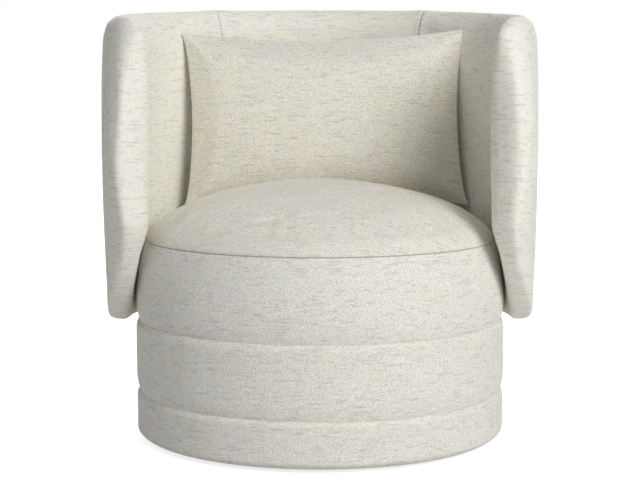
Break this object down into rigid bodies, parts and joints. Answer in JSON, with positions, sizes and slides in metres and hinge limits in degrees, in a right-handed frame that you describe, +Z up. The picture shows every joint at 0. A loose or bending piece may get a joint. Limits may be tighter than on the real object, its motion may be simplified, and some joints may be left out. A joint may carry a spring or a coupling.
{
  "type": "swivel chair",
  "caption": "Upholstered swivel chair with a channelled round drum seat, a wraparound barrel back, a loose lumbar pillow and a hidden ball-bearing base",
  "frame": {"origin": "on the swivel axis at the floor, at the centre of the felt's lower face", "axes": "+Z up, -Y towards the open front, +X to the right of someone facing the chair"},
  "size_m": [0.794, 0.7365, 0.7938],
  "materials": {
    "felt": "dense felt",
    "plywood": "birch plywood, sanded",
    "hardwood": "planed hardwood",
    "board": "bent fibreboard",
    "plate_steel": "zinc-plated pressed steel",
    "fastener_steel": "zinc-plated",
    "ball_steel": "polished bearing steel",
    "cage_plastic": "moulded nylon",
    "dust_cloth": "non-woven dust cloth",
    "webbing": "elastic woven webbing",
    "foam": "cut upholstery foam",
    "fibre_fill": "bagged polyester fibre",
    "drum_fabric": "slubby oatmeal basket weave, woven upholstery fabric",
    "seat_fabric": "slubby oatmeal basket weave, woven upholstery fabric",
    "back_fabric": "slubby oatmeal basket weave, woven upholstery fabric",
    "pillow_fabric": "slubby oatmeal basket weave, woven upholstery fabric"
  },
  "bodies": {
    "base": {"floor_felt": "felt", "plinth_board": "plywood", "lower_swivel_plate": "plate_steel", "plinth_screws": "fastener_steel", "swivel_pin": "fastener_steel"},
    "bearing": {"ball_cage": "cage_plastic", "bearing_balls": "ball_steel"},
    "chair": {"upper_swivel_plate": "plate_steel", "drum_base_board": "plywood", "plate_bolts": "fastener_steel", "plate_nuts": "fastener_steel", "dust_cover": "dust_cloth", "drum_posts": "hardwood", "seat_ring": "plywood", "drum_skin": "plywood", "lower_band": "drum_fabric", "middle_band": "drum_fabric", "upper_band": "drum_fabric", "crosswise_webbing": "webbing", "lengthwise_webbing": "webbing", "seat_core": "foam", "seat_top": "seat_fabric", "back_lower_rail": "plywood", "back_middle_rail": "plywood", "back_top_rail": "plywood", "right_wing_stile": "hardwood", "left_wing_stile": "hardwood", "back_posts": "hardwood", "inner_back_board": "board", "outer_back_board": "board", "edge_roll": "back_fabric", "outer_back_panel": "back_fabric", "right_wing_pad": "back_fabric", "center_back_pad": "back_fabric", "left_wing_pad": "back_fabric", "back_bolts": "fastener_steel", "back_spacers": "hardwood"},
    "pillow": {"pillow_cover": "pillow_fabric", "pillow_insert": "fibre_fill"}
  },
  "joints": [
    {"name": "swivel", "type": "hinge", "parent": "base", "child": "chair", "pos_m": [0, 0, 0.0325], "axis": [0, 0, 1], "continuous": true},
    {"name": "bearing_turn", "type": "hinge", "parent": "base", "child": "bearing", "pos_m": [0, 0, 0.0325], "axis": [0, 0, 1], "continuous": true},
    {"name": "pillow_lift", "type": "slide", "parent": "chair", "child": "pillow", "axis": [0, 0, 1], "range_m": [0, 0.4]}
  ],
  "couplings": [
    {"joint": "bearing_turn", "follows": "swivel", "ratio": 0.5}
  ]
}
